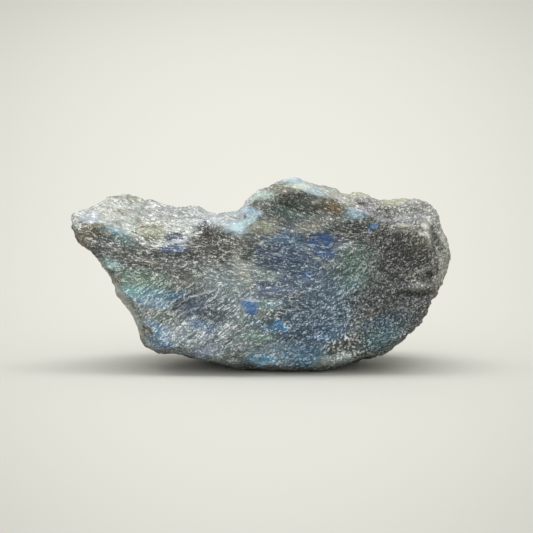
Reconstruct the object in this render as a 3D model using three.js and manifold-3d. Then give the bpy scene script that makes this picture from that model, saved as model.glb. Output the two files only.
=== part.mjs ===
// A semi-polished chunk of labradorite that stands on a small ground flat.
// Millimetres, +X to the right, +Y to the back, +Z up. The stone is one natural piece, so it is one mesh.
//
// The form is worked out from three closed rings round the stone (the edge of the rubbed front face, the
// widest girth, and the edge of the broken back), from the break planes that close it in front and behind,
// and from the single pits, lumps and ledges that are named below. The rings are drawn on a plane that leans
// back, because the stone's widest section does.
import * as THREE from "three";
import { ImprovedNoise } from "three/addons/math/ImprovedNoise.js";
import { mergeVertices } from "three/addons/utils/BufferGeometryUtils.js";
import Module from "manifold-3d";

const { clamp, degToRad, lerp, smoothstep } = THREE.MathUtils;

// ---------- Driving dimensions ----------

const LEAN = degToRad(9); // how far the plane of the rings leans back
const FOOT_DEPTH = -14; // where that plane meets the ground

// Each ring point is [across, up]: across is X, up is measured along the leaning plane from the lowest point.
const LEFT_HORN = [
  [-54.6, 43.3], [-55.2, 45.2], [-54, 46.6], [-50.4, 47.4], [-46.9, 48.8], [-43.7, 51.1], [-39.9, 51.9],
  [-35.3, 51.1], [-33.2, 50.2], [-30.3, 50.2], [-28.6, 49.1], [-24.8, 47.7],
];
const SADDLE = [
  [-20.8, 48.5], [-18.4, 48.1], [-16.1, 46.7], [-12.9, 46.2], [-9.7, 47], [-6.8, 46.7],
];
const PEAK = [
  [-4.5, 49.1], [-3.3, 50.9], [-1.3, 52.5], [1.3, 53.8], [3.9, 54.9], [6.5, 56.2], [9.1, 56.5], [11.2, 56],
  [13.2, 55], [17.6, 54.3], [21.6, 53.1], [23.7, 51.7],
];
const SHELF = [
  [25.7, 51.7], [27.7, 52.4], [29.5, 51.8], [31.8, 50.2], [37.3, 50.1], [44.8, 50.4], [47.5, 49.6],
];
const RIGHT_END = [
  [49.2, 48.2], [50.8, 45.9], [51.8, 42.1], [54, 38], [54.9, 33.7], [54.3, 30.2], [52.7, 27], [51.8, 24.1],
  [50.4, 22.1], [48.9, 20.9],
];
const CHIPPED_EDGE = [
  [48.3, 18.6], [47.8, 16.5], [45.7, 14.2], [43.7, 11.6], [42.2, 11], [41.4, 9.6], [38.5, 7.8], [36.4, 6.1],
  [33.2, 4.6], [30.3, 4.4], [25.7, 2.6], [22.2, 1.2],
];
const FOOT = [
  [18.7, 0.6], [16.1, 0], [12.9, 0.5], [8.6, 0.2], [5.7, 0.6], [2.8, 0.2], [-0.4, 0.8], [-6.2, 0.9],
  [-8.3, 1.3], [-11.2, 2.6], [-16.4, 3.5], [-20.8, 4.6],
];
const LEFT_EDGE = [
  [-26, 5.5], [-30, 5.7], [-32.7, 6.8], [-34.4, 8.4], [-35.3, 10.4], [-35.8, 13.1], [-37.9, 17.7],
  [-40.2, 20.6], [-41.7, 23.8], [-44.6, 28.7], [-46.6, 33.1], [-47.5, 34.1], [-50.1, 35], [-51.2, 36.1],
  [-53, 37.2], [-54, 39.5],
];
const CROWN = [...LEFT_HORN, ...SADDLE, ...PEAK, ...SHELF];
const GIRTH = [...CROWN, ...RIGHT_END, ...CHIPPED_EDGE, ...FOOT, ...LEFT_EDGE];

// The edge of the front face: its brow, its right rim, its foot and its left edge.
const FRONT_EDGE = [
  [-53.8, 42], [-49, 42.6], [-44, 42.5], [-39.5, 40], [-35, 37.4], [-30, 35.6], [-25, 34.8], [-21, 36.2],
  [-18, 39.5], [-15, 42.2], [-10.6, 42.2], [-7, 40.2], [-4, 42], [-1.5, 46], [0.5, 50], [5, 51.8], [9, 52],
  [14, 50.6], [18.5, 50], [22.5, 49], [24.5, 46.5], [29, 44.6], [34, 42.6], [38, 41.2], [43.5, 40.2],
  [47, 38.6], [48.8, 34.5], [49.6, 31.6], [49.4, 27.5], [48.6, 23.6], [47.3, 20.6], [46.6, 17], [44, 13.8],
  [41.8, 11.4], [39.6, 9.6], [35.5, 7.2], [30, 5.4], [25, 3.7], [18, 1.9], [8, 1.5], [-1, 1.9], [-9, 2.7],
  [-16, 4.6], [-23, 6.6], [-28.5, 7.6], [-31.6, 11], [-33.2, 14.5], [-36, 20.2], [-39.4, 23.6], [-42.2, 28],
  [-45.4, 33], [-50, 36.6],
];

// The edge of the broken back, which is smaller all round.
const BACK_EDGE = [
  [-46, 42], [-36, 45.5], [-24, 41], [-10, 41.5], [2, 48], [12, 49.5], [22, 46], [38, 45], [46, 40],
  [48.5, 30], [44, 17], [34, 8], [24, 3.2], [8, 1.8], [-8, 2.4], [-20, 6.5], [-29, 14], [-36, 26], [-44, 35],
];

// Where the girth lies, front to back: at the crown, at the foot and at both ends, and between which
// distances it goes over from one to the other.
const GIRTH_DEPTH = { crown: 5, foot: -12, ends: -6 };
const FOOT_TO_CROWN = [2, 46];
const MIDDLE_TO_ENDS = [30, 52];
const LEAST_FRONT = 2; // how near the girth may come to the front face
const BACK_DEPTH = 17; // where the back edge lies
const BACK_SWEEP = 1.4; // how late the girth gives way to the back edge

// Break planes that close the stone: a point [x, y, z] on each and the way that it faces.
const FRONT_PLANES = [
  { through: [2, -18.6, 22], facing: [0.02, -1, 0.07] },
  { through: [-27, -17.2, 24], facing: [-0.13, -1, 0.12] },
  { through: [37, -16.8, 26], facing: [0.16, -1, -0.05] },
  { through: [6, -17.6, 5], facing: [0, -1, -0.42] },
];
const BACK_PLANES = [
  { through: [4, 20.5, 24], facing: [0.06, 1, 0.1] },
  { through: [0, 14.5, 43], facing: [-0.12, 0.78, 0.62] },
  { through: [32, 15.5, 38], facing: [0.5, 0.8, 0.34] },
  { through: [-30, 14, 36], facing: [-0.5, 0.86, 0.22] },
  { through: [40, 15, 18], facing: [0.62, 0.76, -0.2] },
  { through: [-22, 15.5, 15], facing: [-0.34, 0.86, -0.38] },
  { through: [6, 14, 3.5], facing: [0.1, 0.8, -0.6] },
];

// How far the crown drifts from side to side, in front and behind, and between which heights it sets in.
const DRIFT = { size: 15, front: 6.4, back: 8.5, from: 36, to: 46 };
const EDGE_ROUNDING = 1; // how softly planes and walls meet

// Single features: where each lies on the rings' plane, how deep in the stone, its half-sizes [x, y, z], and
// how far it is pushed out of the stone (or, negative, into it).
const FEATURES = [
  { name: "scoop under the peak", across: 10.5, up: 46, depth: -17, size: [14, 10, 6.8], push: -4 },
  { name: "pocket right of the scoop", across: 20.5, up: 46.5, depth: -17, size: [6.5, 8, 4.4], push: -1.8 },
  { name: "rim over the scoop", across: 9, up: 53, depth: -13, size: [13, 7, 2.6], push: 1.1 },
  { name: "lip under the scoop", across: 11, up: 40.2, depth: -18.5, size: [12, 5, 2.8], push: 1.3 },
  { name: "hollow in the brow", across: -16.4, up: 39.8, depth: -17, size: [4.2, 10, 5.4], push: -5 },
  { name: "brow lump", across: -25.5, up: 37.2, depth: -17, size: [7, 5, 3.2], push: 1.6 },
  { name: "undercut of the brow", across: -26, up: 32.6, depth: -18, size: [12, 6, 3.4], push: -1.6 },
  { name: "undercut of the horn", across: -44.5, up: 38.2, depth: -16, size: [8, 7, 3.6], push: -1.6 },
  { name: "horn ridge", across: -45, up: 42.8, depth: -15, size: [9, 6, 2.4], push: 1.2 },
  { name: "saddle dip", across: -14, up: 46, depth: -6, size: [9, 8, 4], push: -0.8 },
  { name: "flank lump", across: -1.6, up: 46, depth: -6.5, size: [4.4, 5.5, 4.6], push: 2 },
  { name: "slope hollow", across: -33, up: 44.5, depth: -8, size: [9, 6, 4.4], push: -1.3 },
  { name: "slope ridge", across: -23, up: 43, depth: -11, size: [12, 3.6, 4], push: 1.1 },
  { name: "shelf step", across: 36, up: 46.5, depth: -9, size: [11, 5, 3.6], push: -1.2 },
  { name: "right rim", across: 47.4, up: 38, depth: -16, size: [3, 5, 6], push: 1.1 },
  { name: "edge notch", across: 49, up: 28.4, depth: -13, size: [2.8, 6, 3.2], push: -2.6 },
  { name: "ledge", across: 44.6, up: 24.9, depth: -16, size: [5.6, 6, 2.4], push: 1.5 },
  { name: "groove under the ledge", across: 43.2, up: 22.4, depth: -16, size: [8, 6, 2.1], push: -2.2 },
  { name: "low step", across: -22, up: 19.5, depth: -18, size: [7, 4, 1.8], push: -0.9 },
  { name: "toe", across: -31, up: 9.5, depth: -16, size: [5, 5, 4.5], push: -1.1 },
  { name: "hollow behind the saddle", across: -17, up: 43, depth: 12, size: [9, 6, 6], push: -1.5 },
  { name: "lump behind the shelf", across: 33, up: 46, depth: 12, size: [10, 6, 5], push: 1.3 },
  { name: "back hollow", across: 14, up: 28, depth: 21, size: [15, 7, 9], push: -2.6 },
  { name: "back ledge", across: -18, up: 33, depth: 19, size: [12, 6, 4.5], push: 1.8 },
  { name: "back chip", across: 33, up: 20, depth: 18, size: [8, 6, 6], push: -2.2 },
];

// Roughness of the broken stone, by size: how far each goes in and out.
const SWELLS = { size: 17, height: 1 };
const KNOBS = { size: 6.5, height: 0.55 };
const CHIPS = [
  { size: 11, tilt: 0.44, limit: 1.6 },
  { size: 5.4, tilt: 0.46, limit: 0.9 },
];
const CHIP_STRETCH = 1.4; // chips are longer from side to side
const CHIP_SOFTNESS = 0.09; // how wide the corners between chips are, as a share of their size
const RUBBED_SHARE = 0.36; // how much of that roughness is left on the rubbed front face
const RUBBED_DEPTH = [1.2, 4]; // how far into the stone the rubbing shows whole, and where it ends
const GIRTH_SHARE = 0.12; // and along the girth
const GIRTH_BAND = 5.5; // how far front to back the girth's share reaches

// The sheet that the distances from the rings are worked out on.
const SHEET = { left: -70, foot: -16, columns: 281, rows: 161, square: 0.5 };

// The surface is found on a lattice of cubes, and is then parted in flat facets.
const LATTICE = { from: [-60, -26, -6], to: [60, 27, 60], cube: 1.35 };
const ROUGHNESS_REACH = 5; // farther than this from the plain form, the roughness doesn't matter
const ROOT_ROUNDS = 4; // how often a crossing is narrowed down
const ROOT_MARGIN = 0.1; // how near the ends of what is left each try may come
const NODE_GAP = 0.05; // how near a crossing may come to a node, as a share of the way to the next
const EVENING = 0.35; // how far each point slides towards the middle of its neighbours
const EVENING_ROUNDS = 1;
const FACETS = 9300;
const STEADYING = 0.002; // how strongly a joined corner is held near the middle of its edge
const LENGTH_COST = 1e-6; // what an edge's squared length adds to the cost of joining it
const LEAST_AGREEMENT = 0.8; // how far a facet may swing when a corner is joined, as a cosine
const LEAST_WIDTH = 0.16; // how thin a facet may be: its width as a share of its length
const THINNEST = 0.02; // and where facets run out

const GROUND_BLOCK = { side: 200, height: 40 }; // what is taken off under the ground flat
const SAME_POINT = 1e-4; // corners nearer than this are one

const STONE_COLOUR = 0x6f7a82;

const noise = new ImprovedNoise();
const ripple = (p, size, shift) => noise.noise(...p.toArray().map((v) => v / size + shift));

// ---------- Rings and planes ----------

const sine = Math.sin(LEAN);
const cosine = Math.cos(LEAN);

const upAlongLean = (y, z) => z * cosine + (y - FOOT_DEPTH) * sine;

function onLean(across, up, depth) {
  return new THREE.Vector3(across, depth, (up - (depth - FOOT_DEPTH) * sine) / cosine);
}

// How far a point [x, y] lies outside a closed ring, negative inside.
function outsideRing(ring, x, y) {
  let nearest = Infinity;
  let inside = false;
  ring.forEach(([ax, ay], n) => {
    const [bx, by] = ring[(n + 1) % ring.length];
    const [ex, ey] = [bx - ax, by - ay];
    const along = clamp(((x - ax) * ex + (y - ay) * ey) / (ex * ex + ey * ey), 0, 1);
    nearest = Math.min(nearest, Math.hypot(x - ax - ex * along, y - ay - ey * along));
    if (ay > y !== by > y && x < ax + (ex * (y - ay)) / ey) inside = !inside;
  });
  return inside ? -nearest : nearest;
}

// The same distance, worked out once on a sheet of squares and read off between their corners.
function ringSheet(ring) {
  const { left, foot, columns, rows, square } = SHEET;
  const corners = new Float32Array(columns * rows);
  for (let j = 0; j < rows; j++) {
    for (let i = 0; i < columns; i++) {
      corners[j * columns + i] = outsideRing(ring, left + i * square, foot + j * square);
    }
  }
  return (x, y) => {
    const across = clamp((x - left) / square, 0, columns - 1.001);
    const up = clamp((y - foot) / square, 0, rows - 1.001);
    const corner = Math.floor(up) * columns + Math.floor(across);
    const low = lerp(corners[corner], corners[corner + 1], across % 1);
    const high = lerp(corners[corner + columns], corners[corner + columns + 1], across % 1);
    return lerp(low, high, up % 1);
  };
}

const outsideGirth = ringSheet(GIRTH);
const outsideFrontEdge = ringSheet(FRONT_EDGE);
const outsideBackEdge = ringSheet(BACK_EDGE);

// The depth of the girth, which comes forward towards the foot and both ends.
function girthDepth(across, up) {
  const middle = lerp(GIRTH_DEPTH.foot, GIRTH_DEPTH.crown, smoothstep(up, ...FOOT_TO_CROWN));
  return lerp(middle, Math.min(middle, GIRTH_DEPTH.ends), smoothstep(Math.abs(across), ...MIDDLE_TO_ENDS));
}

function breakPlane({ through, facing }) {
  const normal = new THREE.Vector3(...facing).normalize();
  return new THREE.Plane().setFromNormalAndCoplanarPoint(normal, new THREE.Vector3(...through));
}

const frontPlanes = FRONT_PLANES.map(breakPlane);
const breakPlanes = [...frontPlanes, ...BACK_PLANES.map(breakPlane)];
const planeDepth = ({ normal, constant }, x, z) => -(normal.x * x + normal.z * z + constant) / normal.y;
const frontFaceDepth = (x, z) => Math.max(...frontPlanes.map((plane) => planeDepth(plane, x, z)));

// The wall that runs from ring to ring: how far p lies outside it, negative inside. Between the rings the
// crown drifts from side to side, so that its ups and downs don't run straight across the stone.
function outsideWall(p) {
  const up = upAlongLean(p.y, p.z);
  const middle = girthDepth(p.x, up);
  const drift = smoothstep(up, DRIFT.from, DRIFT.to) * ripple(p, DRIFT.size, 11.3);
  if (p.y < middle) {
    const share = (middle - p.y) / Math.max(middle - frontFaceDepth(p.x, p.z), LEAST_FRONT);
    const x = p.x + DRIFT.front * drift * 4 * Math.max(share * (1 - share), 0);
    const girth = outsideGirth(x, up);
    return lerp(girth, Math.max(outsideFrontEdge(x, up), girth), share);
  }
  const share = ((p.y - middle) / (BACK_DEPTH - middle)) ** BACK_SWEEP;
  const x = p.x + DRIFT.back * drift * Math.min(share, 1);
  const girth = outsideGirth(x, up);
  return lerp(girth, Math.max(outsideBackEdge(x, up), girth), share);
}

// ---------- Roughness ----------

// A number from 0 to 1 that is always the same for the same cell [i, j, k] and salt.
const CELL_FACTORS = [374761393, 668265263, 1274126177, 69069];
const STIRS = [[15, 2246822519], [13, 3266489917]];

function scatter(...cell) {
  let mixed = cell.reduce((sum, v, n) => sum ^ Math.imul(v, CELL_FACTORS[n]), 0);
  for (const [shift, factor] of STIRS) mixed = Math.imul(mixed ^ (mixed >>> shift), factor);
  return ((mixed ^ (mixed >>> 16)) >>> 0) / 2 ** 32;
}

// Flat chips: space is parted in cells, and each cell's surface is tilted its own way.
function chip(p, { size, tilt, limit }) {
  const across = p.x / CHIP_STRETCH;
  const home = [across, p.y, p.z].map((v) => Math.floor(v / size));
  const cells = [];
  for (let n = 0; n < 27; n++) {
    const steps = [n % 3, Math.floor(n / 3) % 3, Math.floor(n / 9)];
    const [i, j, k] = steps.map((step, axis) => home[axis] + step - 1);
    const x = across - (i + scatter(i, j, k, 1)) * size;
    const y = p.y - (j + scatter(i, j, k, 2)) * size;
    const z = p.z - (k + scatter(i, j, k, 3)) * size;
    const turn = 2 * Math.PI * scatter(i, j, k, 4);
    const rise = 2 * scatter(i, j, k, 5) - 1;
    const flat = Math.sqrt(1 - rise * rise);
    const height = tilt * (x * flat * Math.cos(turn) + y * flat * Math.sin(turn) + z * rise);
    cells.push({ apart: Math.hypot(x, y, z), height: limit * Math.tanh(height / limit) });
  }
  const nearest = Math.min(...cells.map((cell) => cell.apart));
  let height = 0;
  let total = 0;
  for (const cell of cells) {
    const weight = Math.exp((nearest - cell.apart) / (CHIP_SOFTNESS * size));
    height += weight * cell.height;
    total += weight;
  }
  return height / total;
}

// 1 on the rubbed front face, falling to 0 on the broken stone round it.
function rubbed(p) {
  return 1 - smoothstep(p.y - frontFaceDepth(p.x, p.z), ...RUBBED_DEPTH);
}

// 1 on the widest girth, falling to 0 away from it.
function onGirth(p) {
  const apart = Math.abs(p.y - girthDepth(p.x, upAlongLean(p.y, p.z)));
  return 1 - smoothstep(apart, GIRTH_BAND / 2, GIRTH_BAND);
}

// The girth ring has the stone's own ups and downs already, so little more is added there.
function roughness(p) {
  const share = Math.min(lerp(1, RUBBED_SHARE, rubbed(p)), lerp(1, GIRTH_SHARE, onGirth(p)));
  let height = SWELLS.height * ripple(p, SWELLS.size, 2.1) + KNOBS.height * ripple(p, KNOBS.size, 7.3);
  for (const layer of CHIPS) height += chip(p, layer);
  return share * height;
}

const placedFeatures = FEATURES.map(({ across, up, depth, size, push }) => ({
  at: onLean(across, up, depth),
  size,
  push,
}));

function features(p) {
  let height = 0;
  for (const { at, size, push } of placedFeatures) {
    const apart = Math.hypot((p.x - at.x) / size[0], (p.y - at.y) / size[1], (p.z - at.z) / size[2]);
    height += push * (1 - smoothstep(apart, 0, 1));
  }
  return height;
}

// ---------- The stone ----------

// The larger of the two, with the corner between them rounded off.
function roundedMax(a, b) {
  const mix = clamp(0.5 + (a - b) / (2 * EDGE_ROUNDING), 0, 1);
  return lerp(b, a, mix) + EDGE_ROUNDING * mix * (1 - mix);
}

// How far p lies outside the stone, negative inside.
function outside(p) {
  let plain = outsideWall(p);
  for (const plane of breakPlanes) plain = roundedMax(plain, plane.distanceToPoint(p));
  if (Math.abs(plain) > ROUGHNESS_REACH) return plain;
  return plain - features(p) - roughness(p);
}

// ---------- From the form to a mesh ----------

// A cube is parted in six tetrahedra, one for each order in which the three axes can be walked.
const WALKS = [[0, 1, 2], [0, 2, 1], [1, 0, 2], [1, 2, 0], [2, 0, 1], [2, 1, 0]];

function latticeOf({ from, to, cube }) {
  const counts = from.map((v, axis) => Math.ceil((to[axis] - v) / cube) + 1);
  const strides = [1, counts[0], counts[0] * counts[1]];
  const node = (id) => {
    const step = [id % counts[0], Math.floor(id / strides[1]) % counts[1], Math.floor(id / strides[2])];
    return new THREE.Vector3(...step.map((n, axis) => from[axis] + n * cube));
  };
  const values = new Float64Array(counts[0] * counts[1] * counts[2]);
  for (let id = 0; id < values.length; id++) values[id] = outside(node(id));
  return { counts, strides, node, values };
}

// The point between an inner and an outer node where the surface crosses, kept a little off both nodes.
function crossing(inner, outer, innerValue, outerValue) {
  let [a, b, va, vb] = [0, 1, innerValue, outerValue];
  for (let n = 0; n < ROOT_ROUNDS; n++) {
    const middle = lerp(a, b, clamp(va / (va - vb), ROOT_MARGIN, 1 - ROOT_MARGIN));
    const value = outside(inner.clone().lerp(outer, middle));
    if (value < 0) [a, va] = [middle, value];
    else [b, vb] = [middle, value];
  }
  return inner.clone().lerp(outer, clamp(lerp(a, b, va / (va - vb)), NODE_GAP, 1 - NODE_GAP));
}

// The whole surface as points and triangles that face out.
function closeMesh() {
  const { counts, strides, node, values } = latticeOf(LATTICE);
  const points = [];
  const faces = [];
  const known = new Map();
  const between = (inner, outer) => {
    const key = Math.min(inner, outer) * values.length + Math.max(inner, outer);
    if (!known.has(key)) {
      known.set(key, points.length);
      points.push(crossing(node(inner), node(outer), values[inner], values[outer]));
    }
    return known.get(key);
  };
  const face = (a, b, c, out) => {
    const normal = new THREE.Triangle(points[a], points[b], points[c]).getNormal(new THREE.Vector3());
    faces.push(normal.dot(out) < 0 ? [a, c, b] : [a, b, c]);
  };
  const part = (corners) => {
    const inside = corners.filter((id) => values[id] < 0);
    const rest = corners.filter((id) => values[id] >= 0);
    if (!inside.length || !rest.length) return;
    const sum = (ids) => ids.reduce((total, id) => total.add(node(id)), new THREE.Vector3());
    const out = sum(rest).divideScalar(rest.length).sub(sum(inside).divideScalar(inside.length));
    const ring = inside.length === 2
      ? [[0, 0], [0, 1], [1, 1], [1, 0]].map(([i, o]) => between(inside[i], rest[o]))
      : inside.flatMap((i) => rest.map((o) => between(i, o)));
    face(ring[0], ring[1], ring[2], out);
    if (ring.length === 4) face(ring[0], ring[2], ring[3], out);
  };
  for (let k = 0; k < counts[2] - 1; k++) {
    for (let j = 0; j < counts[1] - 1; j++) {
      for (let i = 0; i < counts[0] - 1; i++) {
        const corner = i + j * strides[1] + k * strides[2];
        const far = corner + strides[0] + strides[1] + strides[2];
        for (const [first, second] of WALKS) {
          part([corner, corner + strides[first], corner + strides[first] + strides[second], far]);
        }
      }
    }
  }
  return { points, faces };
}

// Slides each point towards the middle of its neighbours, which opens the thinnest triangles.
function evenedOut({ points, faces }) {
  const sums = points.map(() => new THREE.Vector3());
  const counts = points.map(() => 0);
  for (const face of faces) {
    face.forEach((v, n) => {
      sums[v].add(points[face[(n + 1) % 3]]);
      counts[v]++;
    });
  }
  const moved = points.map((p, v) => p.clone().lerp(sums[v].divideScalar(counts[v]), EVENING));
  return { points: moved, faces };
}

// ---------- Flat facets ----------

// A heap that gives back the cheapest entry first.
class Heap {
  entries = [];

  push(entry) {
    const { entries } = this;
    let i = entries.push(entry) - 1;
    while (i > 0 && entries[(i - 1) >> 1].cost > entry.cost) {
      entries[i] = entries[(i - 1) >> 1];
      i = (i - 1) >> 1;
    }
    entries[i] = entry;
  }

  pop() {
    const { entries } = this;
    const top = entries[0];
    const last = entries.pop();
    if (!entries.length) return top;
    let i = 0;
    while (2 * i + 1 < entries.length) {
      let child = 2 * i + 1;
      if (child + 1 < entries.length && entries[child + 1].cost < entries[child].cost) child++;
      if (entries[child].cost >= last.cost) break;
      entries[i] = entries[child];
      i = child;
    }
    entries[i] = last;
    return top;
  }
}

// A sum of squared distances to planes: its matrix, its vector and its constant.
class Quadric {
  matrix = new Array(9).fill(0);
  vector = new THREE.Vector3();
  constant = 0;

  addPlane(normal, offset, weight) {
    const n = normal.toArray();
    for (let i = 0; i < 9; i++) this.matrix[i] += weight * n[i % 3] * n[Math.floor(i / 3)];
    this.vector.addScaledVector(normal, weight * offset);
    this.constant += weight * offset * offset;
    return this;
  }

  add(other) {
    for (let i = 0; i < 9; i++) this.matrix[i] += other.matrix[i];
    this.vector.add(other.vector);
    this.constant += other.constant;
    return this;
  }

  at(p) {
    const square = p.clone().applyMatrix3(new THREE.Matrix3().set(...this.matrix)).dot(p);
    return square + 2 * this.vector.dot(p) + this.constant;
  }

  // The point where the sum is least, held near a given point where the planes leave it free.
  least(near) {
    const held = this.matrix[0] + this.matrix[4] + this.matrix[8];
    const matrix = new THREE.Matrix3().set(...this.matrix);
    for (const i of [0, 4, 8]) matrix.elements[i] += STEADYING * held;
    const slope = near.clone().applyMatrix3(new THREE.Matrix3().set(...this.matrix)).add(this.vector);
    return near.clone().sub(slope.applyMatrix3(matrix.invert()));
  }
}

// The length of a triangle's normal over its longest side squared: small where the triangle is thin.
function width(a, b, c) {
  const longest = Math.max(a.distanceToSquared(b), b.distanceToSquared(c), c.distanceToSquared(a));
  return b.clone().sub(a).cross(c.clone().sub(a)).length() / longest;
}

// Joins the two ends of edges, always where it moves the surface least, until the facets are few enough.
function parted({ points, faces }) {
  const quadrics = points.map(() => new Quadric());
  const facesAt = points.map(() => new Set());
  const versions = points.map(() => 0);
  const heap = new Heap();
  const triangle = new THREE.Triangle();
  const normalOf = (a, b, c) => triangle.set(a, b, c).getNormal(new THREE.Vector3());

  faces.forEach((face, n) => {
    const [a, b, c] = face.map((v) => points[v]);
    const normal = normalOf(a, b, c);
    for (const v of face) {
      facesAt[v].add(n);
      quadrics[v].addPlane(normal, -normal.dot(a), triangle.getArea());
    }
  });

  const around = (v) => new Set([...facesAt[v]].flatMap((n) => faces[n]).filter((w) => w !== v));
  const offer = (a, b) => {
    const sum = new Quadric().add(quadrics[a]).add(quadrics[b]);
    const at = sum.least(points[a].clone().lerp(points[b], 0.5));
    const cost = sum.at(at) + LENGTH_COST * points[a].distanceToSquared(points[b]);
    heap.push({ cost, a, b, at, versions: [versions[a], versions[b]] });
  };
  const allowed = ({ a, b, at }, leastWidth) => {
    const shared = [...around(a)].filter((v) => around(b).has(v));
    if (shared.length !== 2) return false;
    for (const [v, other] of [[a, b], [b, a]]) {
      for (const n of facesAt[v]) {
        if (faces[n].includes(other)) continue;
        const before = faces[n].map((w) => points[w]);
        const after = faces[n].map((w) => (w === v ? at : points[w]));
        if (normalOf(...after).dot(normalOf(...before)) < LEAST_AGREEMENT) return false;
        if (width(...after) < Math.min(leastWidth, width(...before))) return false;
      }
    }
    return true;
  };

  let left = faces.length;
  const join = ({ a, b, at }) => {
    points[a] = at;
    quadrics[a].add(quadrics[b]);
    for (const n of facesAt[b]) {
      if (faces[n].includes(a)) {
        for (const v of faces[n]) facesAt[v].delete(n);
        faces[n] = null;
        left--;
      } else {
        faces[n] = faces[n].map((v) => (v === b ? a : v));
        facesAt[a].add(n);
      }
    }
    facesAt[b].clear();
    versions[a]++;
    versions[b]++;
    around(a).forEach((v) => offer(a, v));
  };

  // Thinner facets are allowed only once the others have run out.
  for (let leastWidth = LEAST_WIDTH; left > FACETS && leastWidth > THINNEST; leastWidth /= 2) {
    points.forEach((_, v) => around(v).forEach((w) => v < w && offer(v, w)));
    while (left > FACETS && heap.entries.length) {
      const best = heap.pop();
      const stale = versions[best.a] !== best.versions[0] || versions[best.b] !== best.versions[1];
      if (!stale && allowed(best, leastWidth)) join(best);
    }
  }
  return { points, faces: faces.filter(Boolean) };
}

function roughStone() {
  let mesh = closeMesh();
  for (let n = 0; n < EVENING_ROUNDS; n++) mesh = evenedOut(mesh);
  const { points, faces } = parted(mesh);
  const geometry = new THREE.BufferGeometry();
  geometry.setFromPoints(faces.flat().map((v) => points[v]));
  return geometry;
}

// ---------- The ground flat ----------

const wasm = await Module();
wasm.setup();

function solidOf(geometry) {
  const bare = geometry.clone();
  bare.deleteAttribute("normal");
  bare.deleteAttribute("uv");
  const merged = mergeVertices(bare, SAME_POINT);
  const vertProperties = new Float32Array(merged.getAttribute("position").array);
  return new wasm.Manifold(
    new wasm.Mesh({ numProp: 3, vertProperties, triVerts: new Uint32Array(merged.index.array) }),
  );
}

function geometryOf(solid) {
  const { vertProperties, triVerts } = solid.getMesh();
  const geometry = new THREE.BufferGeometry();
  geometry.setAttribute("position", new THREE.BufferAttribute(vertProperties, 3));
  geometry.setIndex(new THREE.BufferAttribute(triVerts, 1));
  return geometry;
}

// The stone with its underside ground flat at z = 0.
function groundStone() {
  const { side, height } = GROUND_BLOCK;
  const block = new THREE.BoxGeometry(side, side, height);
  block.translate(0, 0, -height / 2);
  return geometryOf(solidOf(roughStone()).subtract(solidOf(block)));
}

// Moves the middle of the bounding box's underside to the origin.
function centred(geometry) {
  geometry.computeBoundingBox();
  const middle = geometry.boundingBox.getCenter(new THREE.Vector3());
  geometry.translate(-middle.x, -middle.y, -geometry.boundingBox.min.z);
  geometry.computeVertexNormals();
  return geometry;
}

function labradoriteChunk() {
  const material = new THREE.MeshStandardMaterial({ color: STONE_COLOUR, roughness: 0.6, metalness: 0 });
  const mesh = new THREE.Mesh(centred(groundStone()), material);
  mesh.name = "labradorite_chunk";
  return mesh;
}

const stone = new THREE.Group();
stone.add(labradoriteChunk());

export default stone;
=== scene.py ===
"""A semi-polished labradorite chunk on a pale floor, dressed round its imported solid.

Lengths are in metres, with +X to the thick end, -Y out of the rubbed front face and +Z up. The front face
leans back a little, so places on it are given in millimetres on a plane that leans with it: across, up along
the lean, and deep into the stone.
"""

import math

import bmesh
import bpy
from mathutils import Matrix, Vector, noise
from mathutils.bvhtree import BVHTree


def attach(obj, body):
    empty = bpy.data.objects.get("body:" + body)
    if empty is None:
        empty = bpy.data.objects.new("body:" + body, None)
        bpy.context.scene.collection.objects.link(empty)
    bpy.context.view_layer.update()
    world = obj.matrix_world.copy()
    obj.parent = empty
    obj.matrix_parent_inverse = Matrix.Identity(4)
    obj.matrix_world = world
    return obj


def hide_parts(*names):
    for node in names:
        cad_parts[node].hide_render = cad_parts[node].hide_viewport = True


MM = 0.001
LEAN = math.radians(9)
FOOT_DEPTH = -15.7  # where the leaning plane meets the ground, in millimetres

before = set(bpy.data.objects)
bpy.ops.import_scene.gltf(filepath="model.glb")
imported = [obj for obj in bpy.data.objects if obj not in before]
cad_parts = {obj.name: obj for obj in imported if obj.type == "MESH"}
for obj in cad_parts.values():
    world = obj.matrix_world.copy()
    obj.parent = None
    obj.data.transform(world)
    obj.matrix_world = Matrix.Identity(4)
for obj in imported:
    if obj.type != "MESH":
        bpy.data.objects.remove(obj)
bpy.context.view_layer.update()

# ---------- Camera ----------

VIEW_DISTANCE = 0.9
VIEW_AIM = Vector((0.00154, -0.00169, 0.02876))
LENS = 209.4
SENSOR = 36
CLIP = (0.01, 20)
AWAY = Vector((0, -math.cos(LEAN), math.sin(LEAN)))  # from the stone to the camera
RISE = Vector((0, math.sin(LEAN), math.cos(LEAN)))  # up in the camera's picture


def camera():
    data = bpy.data.cameras.new("camera")
    data.lens = LENS
    data.sensor_width = SENSOR
    data.clip_start, data.clip_end = CLIP
    item = bpy.data.objects.new("camera", data)
    item.location = VIEW_AIM + AWAY * VIEW_DISTANCE
    item.rotation_euler = (math.radians(90) - LEAN, 0, 0)
    bpy.context.scene.collection.objects.link(item)
    bpy.context.scene.camera = item


# ---------- Places on the front, by the dots of the camera's picture ----------

PICTURE = 533  # dots each way
PICTURE_MIDDLE = (1.64, 30.6)  # about what its middle shows: millimetres across and up along the lean
PLACE_DOTS = 3.445  # dots to a millimetre, as far from the camera as its aim
SIZE_DOTS = 3.5  # dots to a millimetre of the front, for sizes
FRONT_DEPTH = -16  # where no line of sight meets the solid
SPREAD = 0.75  # the share of a patch's half-sizes at which its depth is looked up too
PATCH_DEPTH = {"least": 8, "spare": 7.5}  # half of a patch's depth, and what it has past the surface's own


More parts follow.
